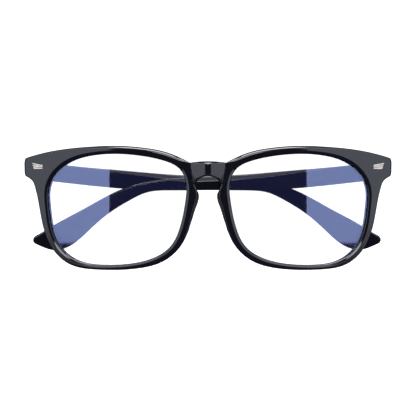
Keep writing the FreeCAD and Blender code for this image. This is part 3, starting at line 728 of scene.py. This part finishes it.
# Each rib: its inner end below and above, then its outer end above (the tooth's point) and below.
RIBS = [
    ((-2.3, -0.10), (-2.3, 0.45), (2.45, 1.35), (1.75, 0.75)),
    ((-2.3, -0.65), (-2.3, -0.10), (2.0, 0.35), (1.4, -0.20)),
    ((-2.3, -1.20), (-2.3, -0.65), (1.65, -0.60), (1.15, -1.25)),
]
RIB_ROWS, RIB_COLUMNS = 11, 15
RIB_END = 0.25  # share of its height that a rib has at its ends
RIB_RISE = 6.0  # how fast it gains the rest


def rib(corners):
    """One domed rib in the plaque's own plane: x along, z up, y out of the face."""
    low_in, top_in, top_out, low_out = (np.array(corner) for corner in corners)
    rows = []
    for v in np.linspace(0.0, 1.0, RIB_ROWS):
        start, end = low_in + v * (top_in - low_in), low_out + v * (top_out - low_out)
        line = []
        for t in np.linspace(0.0, 1.0, RIB_COLUMNS):
            spot = start + t * (end - start)
            ends = min(1.0, RIB_RISE * t + RIB_END, RIB_RISE * (1.0 - t) + RIB_END)
            dome = math.sin(math.pi * v) ** 0.5 * ends
            line.append((spot[0], -(PLAQUE_VALLEY + (PLAQUE_PROUD - PLAQUE_VALLEY) * dome), spot[1]))
        rows.append(line)
    rows = np.array(rows)
    border = np.vstack([rows[0], rows[1:, -1], rows[-1, -2::-1], rows[-2:0:-1, 0]])
    foot = border.copy()
    foot[:, 1] = PLAQUE_BACK
    wall = (np.array([border, foot]), grid_faces(2, len(border), closed_columns=True))
    return [(rows, grid_faces(RIB_ROWS, RIB_COLUMNS)), wall]


def on_face(points):
    """Points of the plaque's own plane, laid on the bent face."""
    lean = math.asin(PLAQUE_X / FACE_RADIUS)
    x, y, z = points[..., 0], points[..., 1], points[..., 2]
    return np.stack(
        [PLAQUE_X + x * math.cos(lean) - y * math.sin(lean),
         face_depth(PLAQUE_X) + x * math.sin(lean) + y * math.cos(lean),
         PLAQUE_Z + z], axis=-1)


plate = slab(PLATE, -PLATE_PROUD, PLAQUE_BACK, round_near=0.06, round_far=0.02)
flat_parts = [part for corners in RIBS for part in rib(corners)] + [plate]
plaque_parts = [(on_face(place), quads) for place, quads in flat_parts]
plaques = {
    "left": mesh_object("plaque_left", plaque_parts, weld=PLAQUE_WELD),
    "right": mesh_object("plaque_right", mirrored(plaque_parts), weld=PLAQUE_WELD),
}

# %% [markdown]
# ## Writing finishes as sums
# A finish is a small network of nodes. Made by hand, every Math node needs its own lines and links, and the
# sum can't be read back from them. One class wraps a socket instead, so that a sum such as
# 0.06 + 0.05 * grain adds the Math nodes by itself. Every other node comes from one method, which takes the
# node's type, its settings and what goes into its sockets.


# %% Sockets that can be added and multiplied
class Value:
    """An output socket of a material's nodes."""

    def __init__(self, socket):
        self.socket = socket

    def sum(self, operation, first, second):
        tree = self.socket.id_data
        made = tree.nodes.new("ShaderNodeMath")
        made.operation = operation
        for place, value in zip(made.inputs, (first, second)):
            if isinstance(value, Value):
                tree.links.new(value.socket, place)
            else:
                place.default_value = value
        return Value(made.outputs[0])

    def __add__(self, other):
        return self.sum("ADD", self, other)

    def __radd__(self, other):
        return self.sum("ADD", other, self)

    def __sub__(self, other):
        return self.sum("SUBTRACT", self, other)

    def __rsub__(self, other):
        return self.sum("SUBTRACT", other, self)

    def __mul__(self, other):
        return self.sum("MULTIPLY", self, other)

    def __rmul__(self, other):
        return self.sum("MULTIPLY", other, self)

    def __pow__(self, other):
        return self.sum("POWER", self, other)


class Finish:
    """One material and the one way in which its nodes are made."""

    def __init__(self, name):
        self.material = bpy.data.materials.new(name)
        self.material.use_nodes = True
        self.tree = self.material.node_tree
        self.tree.nodes.clear()

    def node(self, kind, settings=None, sockets=None, out=0):
        made = self.tree.nodes.new(kind)
        for key, value in (settings or {}).items():
            if key == "stops":
                ramp = made.color_ramp
                while len(ramp.elements) < len(value):
                    ramp.elements.new(1.0)
                for element, (place, colour) in zip(ramp.elements, value):
                    element.position = place
                    element.color = colour
            else:
                setattr(made, key, value)
        for key, value in (sockets or {}).items():
            if isinstance(value, Value):
                self.tree.links.new(value.socket, made.inputs[key])
            else:
                made.inputs[key].default_value = value
        return Value(made.outputs[out]) if made.outputs else None

    def place(self, stretch=(1.0, 1.0, 1.0)):
        """Where a point is on the object, in metres, stretched so that a grain can run one way."""
        where = self.node("ShaderNodeTexCoord", out=3)
        return self.node("ShaderNodeMapping", {}, {"Vector": where, "Scale": stretch})

    def noise(self, per_metre, detail=2.0, stretch=(1.0, 1.0, 1.0)):
        """A smooth random value from 0 to 1 that changes about once in 1 / per_metre."""
        return self.node("ShaderNodeTexNoise", {}, {
            "Vector": self.place(stretch), "Scale": per_metre, "Detail": detail, "Roughness": 0.5})

    def bump(self, height, distance, over=None):
        """A bump of so many metres, laid over another one where that is given."""
        sockets = {"Height": height, "Distance": distance, "Strength": 1.0}
        if over is not None:
            sockets["Normal"] = over
        return self.node("ShaderNodeBump", {}, sockets)

    def done(self, shader):
        self.node("ShaderNodeOutputMaterial", {}, {"Surface": shader})
        print("finish", self.material.name, "has", len(self.tree.nodes), "nodes")
        return self.material


# %% [markdown]
# ## Polished black acetate
# The front and the temples are cut from black acetate sheet, tumbled and buffed. The colour is almost
# black, so nearly all that shows is the coat of polish: a slight waviness some millimetres across, which
# buffing leaves, and hairline marks that run along the piece. Both are far too small for the mesh, so a
# Bump node makes them. Dust in the hairlines makes the roughness vary a little.


# %% Acetate
WAVE_HIGH = 0.000012  # metres
HAIRLINE_DEEP = 0.0000008
CLOUDED = 1.5  # how much paler the sheet is where dust has settled in it
JET = (0.0016, 0.0016, 0.0018)


def acetate(name, colour, along, roughness):
    """Buffed black sheet. along stretches the hairlines the way the piece was buffed."""
    sheet = Finish(name)
    wave = sheet.noise(170.0, detail=1.0)
    hairline = sheet.noise(2600.0, detail=3.0, stretch=along)
    cloud = sheet.noise(90.0, detail=3.0)
    marked = sheet.bump(hairline, HAIRLINE_DEEP, over=sheet.bump(wave, WAVE_HIGH))
    pale = tuple(CLOUDED * part for part in colour)
    tint = sheet.node(
        "ShaderNodeValToRGB", {"stops": [(0.30, (*colour, 1.0)), (0.75, (*pale, 1.0))]}, {"Fac": cloud})
    return sheet.done(sheet.node("ShaderNodeBsdfPrincipled", {}, {
        "Base Color": tint, "Roughness": roughness + 0.04 * hairline + 0.03 * cloud, "IOR": 1.5,
        "Normal": marked}))


black_acetate = acetate("black_acetate", JET, (0.15, 1.0, 1.0), roughness=0.05)
temple_acetate = acetate("temple_acetate", JET, (0.06, 1.0, 1.0), roughness=0.07)

# %% [markdown]
# ## Coated lens
# The blue coating is a stack of films a few wavelengths thick: it lets most light through and throws a
# part of the blue light back. So the lens is a Mix Shader between a clear Transparent surface and a blue
# Glossy one. The mirror's share grows towards the edge of view, as on any glass, and the coating's
# thickness drifts a little, which moves its share. Bending light is left out: a thin lens barely does it.


# %% Lens
GLASS_TINT = (0.985, 0.985, 0.965, 1.0)
RIM_GLANCE = 0.6  # what the mirror's share gains where the lens is seen edge on


def coated_glass(name, share, tint):
    """Clear glass with a coating that mirrors a share of the light, in its own tint."""
    glass = Finish(name)
    drift = glass.noise(60.0, detail=1.0)
    facing = glass.node("ShaderNodeLayerWeight", {}, {"Blend": 0.5}, out=1)
    smear = glass.noise(220.0, detail=4.0, stretch=(1.0, 1.0, 0.4))
    clear = glass.node("ShaderNodeBsdfTransparent", {}, {"Color": GLASS_TINT})
    mirror = glass.node("ShaderNodeBsdfGlossy", {"distribution": "GGX"}, {
        "Color": (*tint, 1.0), "Roughness": 0.012 + 0.02 * smear})
    mirror_share = share * (0.94 + 0.12 * drift) + RIM_GLANCE * facing**5.0
    return glass.done(glass.node("ShaderNodeMixShader", {}, {0: mirror_share, 1: clear, 2: mirror}))


coated_lens = coated_glass("coated_lens", 0.18, (0.46, 0.55, 0.95))
lens_back = coated_glass("lens_back", 0.03, (0.62, 0.74, 1.0))

# %% [markdown]
# ## Nose pads
# The pads are moulded black plastic with a fine satin texture that grips the skin. A tight noise gives the
# grain, and the roughness follows it, because the tops of the grain are rubbed smoother.

# %% Pad plastic
pad = Finish("pad_plastic")
pad_grain = pad.noise(4200.0, detail=2.0)
pad_plastic = pad.done(pad.node("ShaderNodeBsdfPrincipled", {}, {
    "Base Color": (0.011, 0.011, 0.013, 1.0), "Roughness": 0.40 - 0.16 * pad_grain, "IOR": 1.48,
    "Normal": pad.bump(pad_grain, 0.00002)}))

# %% [markdown]
# ## Metals
# The plaque is cast and plated, with a soft warm silver and darker patches of polish residue here and there.
# The hinge leaves are rolled steel strip brushed lengthwise, the rivets and the screw are turned, so their
# marks run in rings. One function makes them all from a colour, a roughness and the way the marks run.


# %% Metals
def metal(name, colour, roughness, marks, per_metre, depth, tarnish=0.25):
    """Worked metal. marks stretches its tool marks: so many of them to a metre, and so many metres deep."""
    bar = Finish(name)
    line = bar.noise(per_metre, detail=3.0, stretch=marks)
    patch = bar.noise(700.0, detail=4.0)
    dark = tuple(part * (1.0 - tarnish) for part in colour)
    tint = bar.node("ShaderNodeValToRGB", {"stops": [(0.25, (*dark, 1.0)), (0.65, (*colour, 1.0))]}, {
        "Fac": 0.6 * patch + 0.4 * line})
    return bar.done(bar.node("ShaderNodeBsdfPrincipled", {}, {
        "Base Color": tint, "Metallic": 1.0, "Roughness": roughness + 0.14 * line - 0.06 * patch,
        "Normal": bar.bump(line, depth)}))


plaque_metal = metal(
    "plaque_metal", (0.55, 0.51, 0.42), 0.34, marks=(0.12, 1.0, 1.0), per_metre=5200.0, depth=6e-6,
    tarnish=0.12)
hinge_steel = metal(
    "hinge_steel", (0.62, 0.62, 0.61), 0.24, marks=(0.05, 1.0, 1.0), per_metre=6000.0, depth=5e-6)
rivet_steel = metal(
    "rivet_steel", (0.66, 0.66, 0.64), 0.26, marks=(1.0, 0.2, 1.0), per_metre=7000.0, depth=4e-6)
screw_steel = metal(
    "screw_steel", (0.58, 0.58, 0.58), 0.22, marks=(1.0, 1.0, 0.08), per_metre=8000.0, depth=4e-6)
core_steel = metal(
    "core_steel", (0.56, 0.57, 0.58), 0.35, marks=(0.04, 1.0, 1.0), per_metre=5000.0, depth=4e-6)

# %% [markdown]
# ## Finishes on pieces, and pieces on bodies
# Each piece takes its finish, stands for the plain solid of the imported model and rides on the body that
# carries that solid. The hinges, rivets, screws and core wires keep their exact shape from the packed
# model and only get a new finish.

# %% Dress every piece
SIDES = ("left", "right")
dressed = [(front, black_acetate, "black_acetate", "front", "front_frame")]
for side in SIDES:
    dressed += [
        (pads[side], pad_plastic, "pad_plastic", "front", f"{side}_nose_pad"),
        (plaques[side], plaque_metal, "plaque_metal", "front", f"{side}_plaque"),
        (lenses[side], coated_lens, "coated_lens", "front", f"{side}_lens"),
        (temples[side], temple_acetate, "temple_acetate", f"{side}_arm", f"{side}_temple"),
    ]
for piece, material, slot, body, node in dressed:
    piece.data.materials.append(material)
    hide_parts(node)
    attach(piece, body)

behind = LENS_RINGS * lens_rings.shape[1]  # the first point of a lens's back
for side in SIDES:
    glass = lenses[side].data
    glass.materials.append(lens_back)
    for face in glass.polygons:
        middle = sum(face.vertices) / len(face.vertices)
        face.material_index = 1 if middle > behind else 0

kept = {
    "front_leaf": hinge_steel, "temple_leaf": hinge_steel, "front_rivets": rivet_steel,
    "temple_rivets": rivet_steel, "hinge_screw": screw_steel, "core_wire": core_steel,
}
for side in SIDES:
    for ending, material in kept.items():
        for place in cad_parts[f"{side}_{ending}"].material_slots:
            place.material = material
print(len(dressed), "pieces dressed,", 2 * len(kept), "packed pieces given a finish")

# %% [markdown]
# ## Light
# A black gloss shows only what it mirrors, so the light is built as what the pair should mirror. Two tall
# soft boxes stand at the sides: the bent front picks them up on its outer thirds and stays black between
# them. Smaller ones below them reach the bevels beside the nose. Lights overhead draw the bright line along
# the brow. A picture of a studio as the world would do this too, but none of its lights could be moved
# alone. The room is pale to the eye and dim to the mirror, as in a tent with black flags. A last soft light
# behind gives the back its shape.


# %% Soft boxes
def soft_box(name, at, size, radiance, aim=(0.0, 0.0, 0.03)):
    """A rectangular light that the camera doesn't see."""
    lamp = bpy.data.lights.new(name, "AREA")
    lamp.shape = "RECTANGLE"
    lamp.size, lamp.size_y = size
    lamp.energy = max(radiance) * math.pi * size[0] * size[1]
    lamp.color = tuple(part / max(radiance) for part in radiance)
    box = bpy.data.objects.new(name, lamp)
    box.location = at
    box.rotation_euler = (Vector(aim) - Vector(at)).to_track_quat("-Z", "Y").to_euler()
    box.visible_camera = False
    bpy.context.scene.collection.objects.link(box)
    print(name, "gives", round(lamp.energy, 2), "W")


SIDE_EDGE = (0.581, -1.334)  # where the side boxes start, seen from above
SIDE_TURN = math.radians(39.5)  # the line they stand on, from straight across
SIDE_WIDE, SIDE_TALL = 1.2, 1.9
SIDE_LOW = -0.009  # their lower edge, a little below the floor
LOW_FROM_EDGE = 0.83  # middle of the box below them, along the same line
LOW_WIDE, LOW_TALL = 0.74, 0.60
SIDE_LIGHT = (1.60, 1.70, 1.95)


def side_box(name, sign, along, height, size):
    """A soft box on the slanted line beside the pair, facing square to that line."""
    x = SIDE_EDGE[0] + along * math.cos(SIDE_TURN)
    y = SIDE_EDGE[1] + along * math.sin(SIDE_TURN)
    aim = (sign * (x - math.sin(SIDE_TURN)), y + math.cos(SIDE_TURN), height)
    soft_box(name, (sign * x, y, height), size, SIDE_LIGHT, aim)


for side, sign in (("left", 1.0), ("right", -1.0)):
    side_box(f"soft_box_{side}", sign, SIDE_WIDE / 2, SIDE_LOW + SIDE_TALL / 2, (SIDE_WIDE, SIDE_TALL))
    side_box(f"low_box_{side}", sign, LOW_FROM_EDGE, SIDE_LOW - LOW_TALL / 2, (LOW_WIDE, LOW_TALL))
# The strip makes the bright line along the brow; the wide, weak panel edges the bevels and the temples.
soft_box("top_strip", (0.0, -0.34, 1.08), (0.62, 0.60), (13.0, 13.0, 13.0), aim=(0.0, -0.34, 0.0))
soft_box("top_panel", (0.0, -0.56, 1.12), (1.8, 1.12), (1.1, 1.1, 1.2), aim=(0.0, -0.56, 0.0))
soft_box("brow_panel", (0.0, -1.30, 0.80), (0.40, 0.52), (7.0, 7.0, 7.2))
soft_box("back_light", (0.0, 1.5, 1.0), (1.8, 0.9), (1.3, 1.35, 1.45))

# %% The room: what the camera sees, and what the polish mirrors
ROOM_SEEN = ((1.0, 1.0, 1.0, 1.0), 1.45)
ROOM_MIRRORED = ((0.40, 0.40, 1.0, 1.0), 0.14)
room_light = bpy.data.worlds.new("room")
room_light.use_nodes = True
bpy.context.scene.world = room_light
air = room_light.node_tree
air.nodes.clear()
choice = air.nodes.new("ShaderNodeMixShader")
whole = air.nodes.new("ShaderNodeOutputWorld")
seen = air.nodes.new("ShaderNodeLightPath")
air.links.new(seen.outputs["Is Camera Ray"], choice.inputs[0])
for place, (colour, strength) in ((1, ROOM_MIRRORED), (2, ROOM_SEEN)):
    shade = air.nodes.new("ShaderNodeBackground")
    shade.inputs["Color"].default_value = colour
    shade.inputs["Strength"].default_value = strength
    air.links.new(shade.outputs[0], choice.inputs[place])
air.links.new(choice.outputs[0], whole.inputs["Surface"])
print("the room has", len(air.nodes), "nodes")

# %% [markdown]
# ## Floor
# The pair stands on a plain pale floor. It glows a little, so that it stays evenly white under the black
# pair, and it doesn't show in the polish. A shadow catcher would give the same white, but only once the
# picture was laid over another one.

# %% Floor
FLOOR_HALF = 3.0
FLOOR_GREY = (0.3, 0.3, 0.3, 1.0)
FLOOR_GLOW = 1.3
corners = [(x * FLOOR_HALF, y * FLOOR_HALF, 0.0) for x, y in ((-1, -1), (1, -1), (1, 1), (-1, 1))]
floor_mesh = bpy.data.meshes.new("floor")
floor_mesh.from_pydata(corners, [], [(0, 1, 2, 3)])
floor = bpy.data.objects.new("floor", floor_mesh)
bpy.context.scene.collection.objects.link(floor)
pale = Finish("pale_floor")
floor_mesh.materials.append(pale.done(pale.node("ShaderNodeBsdfPrincipled", {}, {
    "Base Color": FLOOR_GREY, "Roughness": 0.8, "Specular IOR Level": 0.0,
    "Emission Color": (1.0, 1.0, 1.0, 1.0), "Emission Strength": FLOOR_GLOW})))
floor.visible_glossy = False
